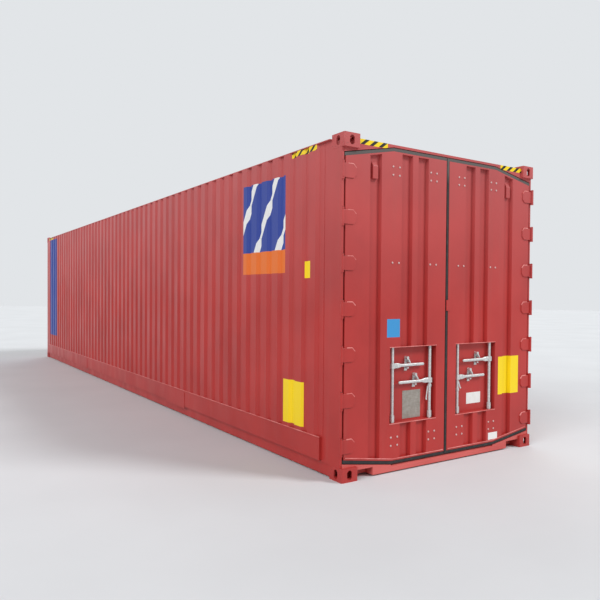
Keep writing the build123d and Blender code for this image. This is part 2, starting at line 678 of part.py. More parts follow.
def hinge_blades(side):
    """Flat hinge blades on the face of one leaf, each with a knuckle at the post."""
    free_end = HINGE_PIN_Y - BLADE_REACH
    with BuildPart() as blades:
        for level in hinge_levels():
            with BuildSketch(Plane.YZ.offset(LEAF_FACE_X)):
                with Locations((side * (free_end + HINGE_PIN_Y) / 2, level)):
                    Rectangle(BLADE_REACH, BLADE_HEIGHT)
                corners = vertices().group_by(Axis.X)[-1 if side < 0 else 0]
                chamfer(corners, BLADE_CORNER)
            extrude(amount=BLADE_THICK)
            with BuildSketch(Plane.XY.offset(level - BLADE_HEIGHT / 2)):
                with Locations((HINGE_PIN_X, side * HINGE_PIN_Y)):
                    RegularPolygon(KNUCKLE_RADIUS, OCTAGON)
            extrude(amount=BLADE_HEIGHT)
            with BuildSketch(Plane.XY.offset(level - BLADE_HEIGHT / 2)):
                with Locations((HINGE_PIN_X, side * HINGE_PIN_Y)):
                    RegularPolygon(HINGE_PIN_RADIUS + HINGE_RUNNING_GAP, PIN_SIDES, major_radius=False)
            extrude(amount=BLADE_HEIGHT, mode=Mode.SUBTRACT)
    return blades.part


def hinge_lugs(side):
    """Pairs of lugs on the front edge of one post, with the pin welded between them."""
    with BuildPart() as lugs:
        for level in hinge_levels():
            reach = BLADE_HEIGHT / 2 + LUG_GAP
            for foot in (level + reach, level - reach - LUG_HEIGHT):
                heights = (foot, foot + LUG_HEIGHT)
                inboard = (side * (HINGE_PIN_Y - LUG_INBOARD), side * HINGE_PIN_Y)
                block((POST_FRONT_X, HINGE_PIN_X), inboard, heights)
                with BuildSketch(Plane.XY.offset(foot)):
                    with Locations((HINGE_PIN_X, side * HINGE_PIN_Y)):
                        RegularPolygon(KNUCKLE_RADIUS, OCTAGON)
                extrude(amount=LUG_HEIGHT)
            with BuildSketch(Plane.XY.offset(level - reach)):
                with Locations((HINGE_PIN_X, side * HINGE_PIN_Y)):
                    RegularPolygon(HINGE_PIN_RADIUS, PIN_SIDES)
            extrude(amount=2 * reach)
    return lugs.part


def lock_bar(side, place):
    """Vertical lock bar with a collar where it leaves the floor of the pocket."""
    across = BARS[place][0]
    with BuildPart() as bar:
        with Locations((BAR_X, side * across, (BAR_BOTTOM + BAR_TOP) / 2)):
            Cylinder(BAR_RADIUS, BAR_TOP - BAR_BOTTOM)
        collar = POCKET_BOTTOM + POCKET_PLATE + COLLAR_LIFT
        with BuildSketch(Plane.XY.offset(collar)):
            with Locations((BAR_X, side * across)):
                RegularPolygon(COLLAR_RADIUS, OCTAGON)
        extrude(amount=COLLAR_HEIGHT)
    return bar.part


def lock_handle(side, place):
    """Handle with its hub on a lock bar, tapering to a grip and folded along the pocket."""
    across, level, outwards = BARS[place]
    start = side * across
    upper = [
        (0.0, HUB_HEIGHT / 2),
        (HUB_REACH, HUB_HEIGHT / 2),
        (GRIP_START, HANDLE_HEIGHT / 2),
        (HANDLE_LENGTH - HANDLE_TIP, HANDLE_HEIGHT / 2),
        (HANDLE_LENGTH, HANDLE_HEIGHT / 2 - HANDLE_TIP),
    ]
    outline = upper + [(along, -up) for along, up in reversed(upper)]
    with BuildPart() as handle:
        points = [(start + side * outwards * along, level + up) for along, up in outline]
        prism(Plane.YZ.offset(BAR_X - HANDLE_THICK / 2), points, HANDLE_THICK)
        chamfer(handle.faces().filter_by(Axis.X).edges(), HANDLE_EDGE)
        with BuildSketch(Plane.XY.offset(level - HUB_HEIGHT / 2)):
            with Locations((BAR_X, start)):
                RegularPolygon(HUB_RADIUS, OCTAGON)
        extrude(amount=HUB_HEIGHT)
        with Locations((BAR_X, start, level)):
            Cylinder(BAR_RADIUS + HUB_FIT, HUB_HEIGHT, mode=Mode.SUBTRACT)
    return handle.part


def handle_catches(side):
    """Catches on the back of one pocket: a lug under each handle, a slanted lever with a knob above it."""
    with BuildPart() as catches:
        for across, level, outwards in BARS.values():
            way = side * outwards
            middle = side * across + way * CATCH_ALONG
            plate = [
                (middle - CATCH_WIDTH / 2, level - CATCH_DOWN),
                (middle + CATCH_WIDTH / 2, level - CATCH_DOWN),
                (middle + CATCH_NECK / 2, level + CATCH_UP),
                (middle - CATCH_NECK / 2, level + CATCH_UP),
            ]
            prism(Plane.YZ.offset(POCKET_FLOOR_X), plate, CATCH_PLATE)
            shelf = level - HANDLE_HEIGHT / 2 - CATCH_GAP
            width = (middle - CATCH_NECK / 2, middle + CATCH_NECK / 2)
            block((POCKET_FLOOR_X, BAR_X + HANDLE_THICK / 2), width, (shelf - CATCH_LUG, shelf))
            reach = BAR_X + HANDLE_THICK / 2 - POCKET_FLOOR_X
            knob = level + CATCH_UP - CATCH_KNOB_RADIUS
            tip = level + HANDLE_HEIGHT / 2 + CATCH_GAP
            lever = [
                (middle - LEVER_WIDTH / 2, knob),
                (middle + LEVER_WIDTH / 2, knob),
                (middle + LEVER_REACH + LEVER_WIDTH / 2, tip),
                (middle + LEVER_REACH - LEVER_WIDTH / 2, tip),
            ]
            prism(Plane.YZ.offset(POCKET_FLOOR_X), lever, reach)
            with BuildSketch(Plane.YZ.offset(POCKET_FLOOR_X)):
                with Locations((middle, knob)):
                    RegularPolygon(CATCH_KNOB_RADIUS, OCTAGON)
            extrude(amount=reach)
    return catches.part


def flute_hood(side):
    """Small sloped hood near the top of the outer flute."""
    middle = side * FLUTE_CENTRES[-1]
    floor_x = LEAF_FACE_X - FLUTE_DEPTH
    points = [
        (floor_x, HOOD_LEVEL - HOOD_HEIGHT / 2),
        (floor_x + HOOD_DEPTH, HOOD_LEVEL - HOOD_HEIGHT / 2),
        (floor_x + HOOD_DEPTH, HOOD_LEVEL + HOOD_HEIGHT / 2 - HOOD_SLOPE),
        (floor_x, HOOD_LEVEL + HOOD_HEIGHT / 2),
    ]
    with BuildPart() as hood:
        plane = Plane((0, middle + HOOD_WIDTH / 2, 0), x_dir=(1, 0, 0), z_dir=(0, -1, 0))
        prism(plane, points, HOOD_WIDTH)
    return hood.part


def overlap_plate():
    """Small plate on the face of the right leaf that reaches over the seal between the leaves."""
    with BuildPart() as plate:
        heights = (OVERLAP_LEVEL - OVERLAP_HEIGHT / 2, OVERLAP_LEVEL + OVERLAP_HEIGHT / 2)
        block((LEAF_FACE_X, LEAF_FACE_X + OVERLAP_THICK), (SEAL_MEETING + SEAL_GAP / 2, OVERLAP_REACH), heights)
    return plate.part


# The fixed box
for end_name, end in {"front": -1, "door": 1}.items():
    for side_name, side in SIDES.items():
        keep(post(end, side), f"{end_name}_post_{side_name}")
        for level_name, level in {"bottom": -1, "top": 1}.items():
            keep(casting(end, side, level), f"{end_name}_casting_{level_name}_{side_name}")
for side_name, side in SIDES.items():
    keep(bottom_rail(side), f"bottom_rail_{side_name}")
    keep(lifting_pads(side), f"lifting_pads_{side_name}")
    keep(top_rail(side), f"top_rail_{side_name}")
    keep(side_wall(side), f"side_wall_{side_name}")
    keep(hinge_lugs(side), f"hinge_lugs_{side_name}")
keep(roof_sheet(), "roof")
keep(front_wall(), "front_wall")
keep(front_sill(), "front_sill")
keep(front_sill_ends(), "front_sill_ends")
keep(front_header(), "front_header")
keep(gooseneck_roof(), "gooseneck_roof")
keep(gooseneck_sides(), "gooseneck_sides")
keep(cross_members(), "cross_members")
keep(floor_deck(), "floor")
keep(end_beam(True), "door_header")
keep(end_beam(False), "door_sill")

# The two leaves and what rides on them
for side_name, side in SIDES.items():
    keep(door_frame(side), f"door_frame_{side_name}")
    keep(door_skin(side), f"door_skin_{side_name}")
    keep(lock_pocket(side), f"lock_pocket_{side_name}")
    keep(bar_brackets(side), f"bar_brackets_{side_name}")
    keep(seal(side), f"door_seal_{side_name}")
    keep(hinge_blades(side), f"hinge_blades_{side_name}")
    keep(handle_catches(side), f"handle_catches_{side_name}")
    keep(flute_hood(side), f"flute_hood_{side_name}")
    for place in BARS:
        keep(lock_bar(side, place), f"lock_bar_{side_name}_{place}")
        keep(lock_handle(side, place), f"lock_handle_{side_name}_{place}")
keep(overlap_plate(), "overlap_plate")
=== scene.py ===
# %% [markdown]
# # A forty-foot steel cargo container
# The real box is a welded steel frame with corrugated sheet walls, sprayed in one coat of red oxide
# paint. The CAD model already holds every shape that carries load or moves, so it is loaded first and
# stays fixed. This lesson dresses those solids and adds the small things that a welder, a painter and a
# fitter leave behind: bolts, weld beads, plain colour panels and plates.

# %% Load the frame
import json
import math
import random

import bmesh
import bpy
from mathutils import Matrix, Vector


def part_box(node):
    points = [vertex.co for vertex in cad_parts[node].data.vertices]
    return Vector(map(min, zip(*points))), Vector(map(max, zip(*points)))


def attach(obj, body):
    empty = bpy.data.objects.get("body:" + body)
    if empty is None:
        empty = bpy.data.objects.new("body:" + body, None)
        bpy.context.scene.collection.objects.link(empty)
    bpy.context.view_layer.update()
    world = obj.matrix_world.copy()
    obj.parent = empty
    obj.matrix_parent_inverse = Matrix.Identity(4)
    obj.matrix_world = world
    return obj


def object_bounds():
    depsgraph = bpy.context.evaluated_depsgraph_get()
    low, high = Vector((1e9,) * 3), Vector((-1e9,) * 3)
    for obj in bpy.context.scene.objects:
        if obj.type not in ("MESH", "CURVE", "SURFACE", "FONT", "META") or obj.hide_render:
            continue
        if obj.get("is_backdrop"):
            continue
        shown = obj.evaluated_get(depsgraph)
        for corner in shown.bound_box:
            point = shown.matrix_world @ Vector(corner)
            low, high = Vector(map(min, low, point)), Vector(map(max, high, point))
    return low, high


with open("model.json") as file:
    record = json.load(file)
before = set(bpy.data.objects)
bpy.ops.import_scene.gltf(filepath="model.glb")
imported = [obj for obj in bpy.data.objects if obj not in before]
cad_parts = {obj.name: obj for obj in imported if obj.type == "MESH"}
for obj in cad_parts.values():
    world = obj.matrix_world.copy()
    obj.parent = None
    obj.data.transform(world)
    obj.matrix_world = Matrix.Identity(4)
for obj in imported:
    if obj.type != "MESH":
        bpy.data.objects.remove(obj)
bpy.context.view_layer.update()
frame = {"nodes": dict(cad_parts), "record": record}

NODES = frame["nodes"]
SIDES = {"left": -1, "right": 1}

# %% [markdown]
# ## Node helpers
# Every finish below is a small shader tree. A tree could be drawn by hand in the editor, but here a few
# helpers keep the wiring short: one makes a node and sets its sockets, one makes noise on the piece's
# own Object coordinates, three feed the shader's colour, roughness and bump, and one turns a rectangle on
# the piece into a mask of 0 and 1.

# %% Shader helpers
NOISE_MIDDLE, NOISE_UPPER = (0.3, 0.7), (0.35, 0.7)


def linear(red, green, blue):
    """A display colour, 0 to 255, as the linear colour that a shader socket takes."""
    def one(value):
        value /= 255
        return value / 12.92 if value <= 0.04045 else ((value + 0.055) / 1.055) ** 2.4
    return (one(red), one(green), one(blue), 1.0)


def add_node(tree, kind, operation=None, **sockets):
    """A new node; sockets are given by name, and a linked socket is given as another node's output."""
    node = tree.nodes.new("ShaderNode" + kind)
    if operation:
        node.operation = operation
    for name, value in sockets.items():
        slot = node.inputs[int(name[1:]) if name[1:].isdigit() else name.replace("_", " ")]
        if isinstance(value, bpy.types.NodeSocket):
            tree.links.new(value, slot)
        else:
            slot.default_value = value
    return node


def new_finish(name):
    """An empty material with its shader and the piece's Object coordinates."""
    material = bpy.data.materials.new(name)
    material.use_nodes = True
    tree = material.node_tree
    coordinates = tree.nodes.new("ShaderNodeTexCoord").outputs["Object"]
    return material, tree, tree.nodes["Principled BSDF"], coordinates


def noise(tree, coordinates, scale, stretch=(1, 1, 1), detail=4.0):
    """Noise in the piece's own metres, drawn out along the axes with a small stretch value."""
    mapping = add_node(tree, "Mapping", Vector=coordinates, Scale=stretch)
    return add_node(tree, "TexNoise", Vector=mapping.outputs[0], Scale=scale, Detail=detail).outputs["Fac"]


def ramp(tree, value, low, high, low_to=0.0, high_to=1.0):
    """A value carried from one range to another, and held at the ends."""
    node = add_node(tree, "MapRange", Value=value, From_Min=low, From_Max=high, To_Min=low_to, To_Max=high_to)
    return node.outputs["Result"]


def mix(tree, factor, first, second):
    """One colour laid over another by a factor; the numbers are the Mix node's colour sockets."""
    node = tree.nodes.new("ShaderNodeMix")
    node.data_type = "RGBA"
    for slot, value in ((0, factor), (6, first), (7, second)):
        if isinstance(value, bpy.types.NodeSocket):
            tree.links.new(value, node.inputs[slot])
        else:
            node.inputs[slot].default_value = value
    return node.outputs[2]


def set_colour(tree, shader, factor, first, second):
    """Two colours mixed by a factor, as the finish's colour."""
    tree.links.new(mix(tree, factor, first, second), shader.inputs["Base Color"])


def set_roughness(tree, shader, value, roughness):
    """Roughness that goes from one value to another over the middle of a noise."""
    tree.links.new(ramp(tree, value, *NOISE_MIDDLE, *roughness), shader.inputs["Roughness"])


def set_bump(tree, shader, height, strength, depth):
    """A skin of bumps, with their height from 0 to 1 and the depth of a full one in metres."""
    skin = add_node(tree, "Bump", Height=height, Strength=strength, Distance=depth)
    tree.links.new(skin.outputs[0], shader.inputs["Normal"])
    return skin


def rectangle(tree, axes, spans):
    """A mask that is 1 inside a rectangle on two of the piece's axes."""
    tests = []
    for axis, (low, high) in zip(axes, spans):
        middle, half = (low + high) / 2, (high - low) / 2
        tests.append(add_node(tree, "Math", "COMPARE", _0=axis, _1=middle, _2=half).outputs[0])
    return add_node(tree, "Math", "MULTIPLY", _0=tests[0], _1=tests[1]).outputs[0]


print("shader helpers ready")

# %% [markdown]
# ## The paint
# Red oxide paint is sprayed on thick, so it has a faint orange-peel skin, and thin streaks of dust run
# down it. A single colour looks like plastic, so the paint mixes four colours by large noise, by height
# above the ground and by long upright noise; the pale pink that grows towards the top is a painted
# reflection of the sky. A second coat, for the door sill, has a painted reflection laid on in pale patches.

# %% Red paint
PAINT = linear(182, 52, 48)
PAINT_DEEP = linear(166, 45, 42)
PAINT_SKY_REFLECTION = linear(206, 132, 134)
PAINT_DUST = linear(156, 86, 78)
PAINT_SILL_REFLECTION = linear(226, 118, 112)
PAINT_ROUGHNESS = (0.34, 0.50)
PAINT_SHINE = 0.4
SKY_REFLECTION_HEIGHTS = (1.4, 3.0)
SKY_REFLECTION_AMOUNT = 0.26
PATCH_SCALE, PATCH_RANGE = 1.6, (0.35, 0.7)
STREAK_SCALE, STREAK_STRETCH, STREAK_RANGE, STREAK_AMOUNT = 14, (1, 1, 0.04), (0.56, 0.8), 0.2
GLOSS_SCALE, GLOSS_STRETCH = 5, (1, 1, 0.3)
PEEL_SCALE, PEEL_STRENGTH, PEEL_DEPTH = 260, 0.10, 0.001
WAVE_SCALE, WAVE_STRENGTH, WAVE_DEPTH = 2.4, 0.22, 0.006
SILL_REFLECTION_SCALE, SILL_REFLECTION_STRETCH, SILL_REFLECTION_AMOUNTS = 3, (1, 0.3, 1), (0.25, 0.65)


def paint_colour(tree, coordinates):
    """The bare coat: patches, a painted reflection of the sky that grows with height, and streaks of dust."""
    height = add_node(tree, "SeparateXYZ", Vector=coordinates).outputs["Z"]
    patches = ramp(tree, noise(tree, coordinates, PATCH_SCALE), *PATCH_RANGE)
    coat = mix(tree, patches, PAINT, PAINT_DEEP)
    # painted reflection: pale pink mixed in with height, for the sky seen in the glossy paint
    sky_reflection = ramp(tree, height, *SKY_REFLECTION_HEIGHTS, 0.0, SKY_REFLECTION_AMOUNT)
    coat = mix(tree, sky_reflection, coat, PAINT_SKY_REFLECTION)
    streaks = noise(tree, coordinates, STREAK_SCALE, STREAK_STRETCH)
    return mix(tree, ramp(tree, streaks, *STREAK_RANGE, 0.0, STREAK_AMOUNT), coat, PAINT_DUST)


def paint_skin(tree, shader, coordinates):
    """Uneven gloss, orange peel and the slight waviness of welded sheet."""
    set_roughness(tree, shader, noise(tree, coordinates, GLOSS_SCALE, GLOSS_STRETCH), PAINT_ROUGHNESS)
    shader.inputs["Specular IOR Level"].default_value = PAINT_SHINE
    grain = noise(tree, coordinates, PEEL_SCALE, detail=2.0)
    peel = add_node(tree, "Bump", Height=grain, Strength=PEEL_STRENGTH, Distance=PEEL_DEPTH)
    wave = set_bump(tree, shader, noise(tree, coordinates, WAVE_SCALE), WAVE_STRENGTH, WAVE_DEPTH)
    tree.links.new(peel.outputs[0], wave.inputs["Normal"])


def red_paint():
    """The plain coat."""
    material, tree, shader, coordinates = new_finish("red_paint")
    tree.links.new(paint_colour(tree, coordinates), shader.inputs["Base Color"])
    paint_skin(tree, shader, coordinates)
    return material


def sill_reflection_paint():
    """Red paint with a painted reflection laid on in pale patches."""
    material, tree, shader, coordinates = new_finish("sill_reflection_paint")
    # painted reflection: pale patches by noise, for the light the sill's upturned face reflects
    reflection_patches = ramp(tree, noise(tree, coordinates, SILL_REFLECTION_SCALE, SILL_REFLECTION_STRETCH), *NOISE_MIDDLE, *SILL_REFLECTION_AMOUNTS)
    set_colour(tree, shader, reflection_patches, paint_colour(tree, coordinates), PAINT_SILL_REFLECTION)
    paint_skin(tree, shader, coordinates)
    return material


plain_paint, sill_paint = red_paint(), sill_reflection_paint()
print("paint:", len(plain_paint.node_tree.nodes), "nodes")

# %% [markdown]
# ## Painted panels and stripes
# Yellow and black stripes warn of the box's extra height, and plain colour panels sit on the walls and
# doors. They could be thin sheets of their own, but on the real box they follow every fold of the
# corrugated sheet. So each is a rectangle in the paint's own shader, on the piece's X or Y and Z, and a
# mask keeps it off the faces that look into the box. The header's stripes fold over its top, so its mask
# leaves out only the faces that look straight back.

# %% Panels in the paint
YELLOW = linear(247, 214, 12)
BLACK = linear(17, 16, 16)
WHITE = linear(232, 232, 230)
BLUE = linear(38, 62, 148)
PALE_BLUE = linear(58, 146, 206)
ORANGE = linear(226, 112, 34)


def slanted_bars(tree, along, height, pitch, slant, share):
    """A mask of slanted bars along an axis: 1 on a share of every pitch."""
    lean = add_node(tree, "Math", "MULTIPLY", _0=height, _1=-slant).outputs[0]
    across = add_node(tree, "Math", "ADD", _0=along, _1=lean).outputs[0]
    turns = add_node(tree, "Math", "DIVIDE", _0=across, _1=pitch).outputs[0]
    part = add_node(tree, "Math", "FRACT", _0=turns).outputs[0]
    return add_node(tree, "Math", "LESS_THAN", _0=part, _1=share).outputs[0]


def outer_faces(tree, coordinates, axis, least=0.0):
    """A mask that is 1 on faces that look out along an axis; a least below 0 adds faces across it."""
    normal = tree.nodes.new("ShaderNodeTexCoord").outputs["Normal"]
    look = add_node(tree, "SeparateXYZ", Vector=normal).outputs[axis]
    place = add_node(tree, "SeparateXYZ", Vector=coordinates).outputs[axis]
    away = add_node(tree, "Math", "MULTIPLY", _0=look, _1=place).outputs[0]
    return add_node(tree, "Math", "GREATER_THAN", _0=away, _1=least).outputs[0]


def panelled_paint(name, axis, outward, panels, striped):
    """Red paint with plain panels, each (span, heights, colour), and ones with bars of a second colour."""
    material, tree, shader, coordinates = new_finish(name)
    colour = paint_colour(tree, coordinates)
    parts = add_node(tree, "SeparateXYZ", Vector=coordinates)
    along, height = parts.outputs[axis], parts.outputs["Z"]
    outside = outer_faces(tree, coordinates, *outward)
    patches = list(panels)
    for span, heights, shade, bar_shade, bars in striped:
        patches.append((span, heights, mix(tree, slanted_bars(tree, along, height, *bars), shade, bar_shade)))
    for span, heights, shade in patches:
        inside = rectangle(tree, (along, height), (span, heights))
        mask = add_node(tree, "Math", "MULTIPLY", _0=inside, _1=outside).outputs[0]
        colour = mix(tree, mask, colour, shade)
    tree.links.new(colour, shader.inputs["Base Color"])
    paint_skin(tree, shader, coordinates)
    print(name, "has", len(panels), "plain and", len(striped), "striped panels")
    return material


# %% Wall, header and door paint
# Bars are (pitch, slant, share); panels are (span along the face, heights, colour), in metres.
HAZARD_BARS = (0.098, 1.3, 0.43)
HAZARD_HEIGHTS = (2.808, 2.868)
HEADER_HEIGHTS = (2.822, 2.884)
BADGE, BADGE_BARS = (4.36, 5.21), (0.425, 0.6, 0.2)
WALL_PANELS = [
    ((5.19, 5.52), (0.37, 0.77), YELLOW),
    ((5.52, 5.635), (1.705, 1.855), YELLOW),
    (BADGE, (1.76, 1.98), ORANGE),
    ((-5.60, -4.92), (0.58, 2.80), BLUE),
]


def hazard(span, heights=HAZARD_HEIGHTS):
    """A band of yellow and black bars at the top of the box."""
    return (span, heights, YELLOW, BLACK, HAZARD_BARS)


WALL_STRIPED = [hazard((5.30, 5.72)), hazard((-5.72, -5.30)), (BADGE, (1.98, 2.67), BLUE, WHITE, BADGE_BARS)]
HEADER_STRIPED = [hazard(span, HEADER_HEIGHTS) for span in ((-1.057, -0.735), (0.735, 1.057))]
BACK_LEAST = -3.0  # half the header's distance from the middle of the box, looking back
wall_paint = panelled_paint("wall_paint", "X", ("Y",), WALL_PANELS, WALL_STRIPED)
header_paint = panelled_paint("header_paint", "Y", ("X", BACK_LEAST), [], HEADER_STRIPED)
LEFT_PANELS = [((-0.725, -0.577), (1.19, 1.35), PALE_BLUE)]
RIGHT_PANELS = [((0.735, 1.045), (0.57, 0.95), YELLOW), ((0.598, 0.733), (0.13, 0.20), WHITE)]
leaf_paint = {
    "left": panelled_paint("leaf_paint_left", "Y", ("X",), LEFT_PANELS, []),
    "right": panelled_paint("leaf_paint_right", "Y", ("X",), RIGHT_PANELS, []),
}

# %% [markdown]
# ## Cast steel, zinc, rubber and plywood
# The corner castings come out of a sand mould, so under the same paint their skin is rougher. The bars and
# handles are dipped in zinc, which sets in large flat crystals of slightly different grey. The door
# seal is matt black rubber, a lighter grey along the top of the doors, and the floor is brown plywood in
# long sheets.

# %% Castings
CAST_SCUFF, CAST_ROUGHNESS = linear(112, 62, 56), (0.42, 0.62)
SCUFF_SCALE, SCUFF_RANGE, SCUFF_AMOUNT = 38, (0.62, 0.72), 0.55
CAST_SCALE, SAND_SCALE, SAND_STRENGTH, SAND_DEPTH = 60, 140, 0.35, 0.0015


def cast_paint():
    """Red paint over a sand-cast skin, with a few scuffs."""
    material, tree, shader, coordinates = new_finish("cast_paint")
    scuffs = ramp(tree, noise(tree, coordinates, SCUFF_SCALE, detail=6.0), *SCUFF_RANGE, 0.0, SCUFF_AMOUNT)
    set_colour(tree, shader, scuffs, paint_colour(tree, coordinates), CAST_SCUFF)
    set_roughness(tree, shader, noise(tree, coordinates, CAST_SCALE), CAST_ROUGHNESS)
    set_bump(tree, shader, noise(tree, coordinates, SAND_SCALE, detail=6.0), SAND_STRENGTH, SAND_DEPTH)
    return material


corner_paint = cast_paint()
print("castings:", len(corner_paint.node_tree.nodes), "nodes")

# %% Zinc
ZINC_DARK, ZINC_LIGHT, ZINC_METAL = linear(186, 188, 188), linear(222, 222, 220), 0.55
SPANGLE_SCALE, SPANGLE_STRENGTH, SPANGLE_DEPTH = 90.0, 0.06, 0.0006
ZINC_SCALE, ZINC_ROUGHNESS = 45, (0.34, 0.52)


def zinc():
    """Hot-dip zinc with its spangle."""
    material, tree, shader, coordinates = new_finish("galvanised")
    spangle = add_node(tree, "TexVoronoi", Vector=coordinates, Scale=SPANGLE_SCALE)
    crystal = ramp(tree, spangle.outputs["Color"], 0.0, 1.0)
    set_colour(tree, shader, crystal, ZINC_DARK, ZINC_LIGHT)
    shader.inputs["Metallic"].default_value = ZINC_METAL
    set_roughness(tree, shader, noise(tree, coordinates, ZINC_SCALE), ZINC_ROUGHNESS)
    set_bump(tree, shader, crystal, SPANGLE_STRENGTH, SPANGLE_DEPTH)
    return material


galvanised = zinc()
print("zinc:", len(galvanised.node_tree.nodes), "nodes")

# %% Rubber
RUBBER, RUBBER_DUST, RUBBER_LIGHTER = linear(30, 29, 30), linear(62, 59, 58), linear(96, 91, 88)
RUBBER_LIGHTER_HEIGHTS, RUBBER_LIGHTER_AMOUNT, RUBBER_ROUGHNESS = (2.60, 2.72), 0.8, 0.72
DUST_SCALE, DUST_RANGE, DUST_AMOUNT = 24, (0.4, 0.75), 0.5
PORE_SCALE, PORE_STRENGTH, PORE_DEPTH = 400, 0.15, 0.0008


def rubber():
    """Matt rubber with dust in its pores, lighter grey over the top of the doors."""
    material, tree, shader, coordinates = new_finish("seal_rubber")
    height = add_node(tree, "SeparateXYZ", Vector=coordinates).outputs["Z"]
    dust = ramp(tree, noise(tree, coordinates, DUST_SCALE, detail=6.0), *DUST_RANGE, 0.0, DUST_AMOUNT)
    dark = mix(tree, dust, RUBBER, RUBBER_DUST)
    # lighter grey with height, over the top of the doors
    top_lighter = ramp(tree, height, *RUBBER_LIGHTER_HEIGHTS, 0.0, RUBBER_LIGHTER_AMOUNT)
    set_colour(tree, shader, top_lighter, dark, RUBBER_LIGHTER)
    shader.inputs["Roughness"].default_value = RUBBER_ROUGHNESS
    set_bump(tree, shader, noise(tree, coordinates, PORE_SCALE, detail=2.0), PORE_STRENGTH, PORE_DEPTH)
    return material


seal_rubber = rubber()
print("rubber:", len(seal_rubber.node_tree.nodes), "nodes")

# %% Plywood
SHEET_LENGTH, SHEET_WIDTH, SHEET_SEAM = 2.4, 1.16, 0.004
PLY_PALE, PLY_BROWN = linear(134, 92, 58), linear(118, 78, 50)
PLY_SEAM, PLY_GRAIN = linear(40, 28, 22), linear(84, 54, 34)
PLY_ROUGHNESS = 0.55
GRAIN_SCALE, GRAIN_STRETCH, GRAIN_RANGE, GRAIN_AMOUNT = 60, (0.04, 1, 1), (0.3, 0.75), 0.55
GRAIN_STRENGTH, GRAIN_DEPTH = 0.15, 0.001


def plywood():
    """Plywood sheets laid along the box, with dark seams and long grain."""
    material, tree, shader, coordinates = new_finish("floor_plywood")
    sheets = add_node(tree, "TexBrick", Vector=coordinates, Scale=1.0, Mortar_Size=SHEET_SEAM,
                      Brick_Width=SHEET_LENGTH, Row_Height=SHEET_WIDTH, Color1=PLY_PALE, Color2=PLY_BROWN,
                      Mortar=PLY_SEAM)
    fibres = noise(tree, coordinates, GRAIN_SCALE, GRAIN_STRETCH, detail=6.0)
    grain = ramp(tree, fibres, *GRAIN_RANGE, 0.0, GRAIN_AMOUNT)
    set_colour(tree, shader, grain, sheets.outputs["Color"], PLY_GRAIN)
    shader.inputs["Roughness"].default_value = PLY_ROUGHNESS
    set_bump(tree, shader, grain, GRAIN_STRENGTH, GRAIN_DEPTH)
    return material


floor_ply = plywood()
print("plywood:", len(floor_ply.node_tree.nodes), "nodes")

# %% [markdown]
# ## Dressing the CAD solids
# Each solid names the finish it should have in the record. Here that name picks one of the materials
# above, and a few solids take a panelled paint, or one with a painted reflection, instead. Thick cast,
# forged and cut pieces also get a Weld and a Bevel modifier: real edges are never sharp, and the small
# radius catches the light.

# %% Dress the nodes
FINISHES = {
    "red_paint": plain_paint,
    "corner_steel": corner_paint,
    "door_rubber": seal_rubber,
    "galvanised_steel": galvanised,
    "floor_plywood": floor_ply,
}
SPECIAL = {"door_header": header_paint, "door_sill": sill_paint}
for side in SIDES:
    SPECIAL["side_wall_" + side] = wall_paint
    SPECIAL["door_skin_" + side] = leaf_paint[side]
ROUNDED = {
    "casting": 0.004,
    "lock_handle": 0.003,
    "hinge_blades": 0.004,
    "flute_hood": 0.004,
    "catches": 0.002,
}
WELD_DISTANCE = 0.00001


def round_edges(piece, width):
    """Join the loose triangles, then round every sharp edge a little."""
    weld = piece.modifiers.new("weld", "WELD")
    weld.merge_threshold = WELD_DISTANCE
    bevel = piece.modifiers.new("edges", "BEVEL")
    bevel.width = width
    bevel.segments = 2
    bevel.limit_method = "ANGLE"


for entry in frame["record"]["subparts"]:
    node = NODES[entry["node"]]
    node.data.materials.clear()
    node.data.materials.append(SPECIAL.get(entry["node"], FINISHES[entry["material_slot"]]))
    for word, width in ROUNDED.items():
        if word in entry["node"]:
            round_edges(node, width)

# %% [markdown]
# ## New pieces
# Every small piece is a bmesh that is turned into an object at the origin, with its place in its mesh.
# It then rides on the CAD body that it is fixed to, so it swings with the door or turns with the bar.

# %% Piece helpers
HEAD_ROUNDING, EDGE_ROUNDING = 0.45, 0.3


def finish_piece(name, form, body, material):
    """Close a bmesh into an object that rides on a CAD body."""
    bmesh.ops.recalc_face_normals(form, faces=form.faces)
    mesh = bpy.data.meshes.new(name)
    form.to_mesh(mesh)
    form.free()
    mesh.materials.append(material)
    piece = bpy.data.objects.new(name, mesh)
    bpy.context.scene.collection.objects.link(piece)
    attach(piece, body)
    print(name, "has", len(mesh.polygons), "faces and rides on", body)


def facing(place, way):
    """A place and a turn that carries a shape's own +Z to the given way."""
    return Matrix.Translation(place) @ Vector(way).to_track_quat("Z", "Y").to_matrix().to_4x4()


def edges_of(made):
    """The edges of a newly made shape, each once and in a fixed order."""
    return list(dict.fromkeys(edge for vert in made["verts"] for edge in vert.link_edges))


def add_button(form, place, way, radius, height, segments=10):
    """A round head that stands on a face, with its top edge bevelled."""
    lift = Matrix.Translation((0, 0, height / 2))
    made = bmesh.ops.create_cone(form, cap_ends=True, segments=segments, radius1=radius, radius2=radius,
                                 depth=height, matrix=facing(place, way) @ lift)
    top = Vector(place) + Vector(way) * height
    rim = [edge for edge in edges_of(made)
           if all(abs((end.co - top).dot(Vector(way))) < height / 10 for end in edge.verts)]
    bmesh.ops.bevel(form, geom=rim, offset=height * HEAD_ROUNDING, affect="EDGES", segments=2, profile=0.5,
                    material=-1)


def add_bar(form, place, size, thickness):
    """A flat bar of a size at a place, with every edge bevelled by a share of its thickness."""
    made = bmesh.ops.create_cube(form, size=1, matrix=place @ Matrix.Diagonal((*size, 1)))
    bmesh.ops.bevel(form, geom=edges_of(made), offset=thickness * EDGE_ROUNDING, affect="EDGES", segments=2,
                    profile=0.5, material=-1)


print("piece helpers ready")

# %% [markdown]
# ## Bolts on the door leaves
# The bearings behind each leaf are bolted through the skin, four bolts at the top and bottom bearings and
# two at the middle one. The bolts sit beside the lock bars, so their places come from the bars' boxes.

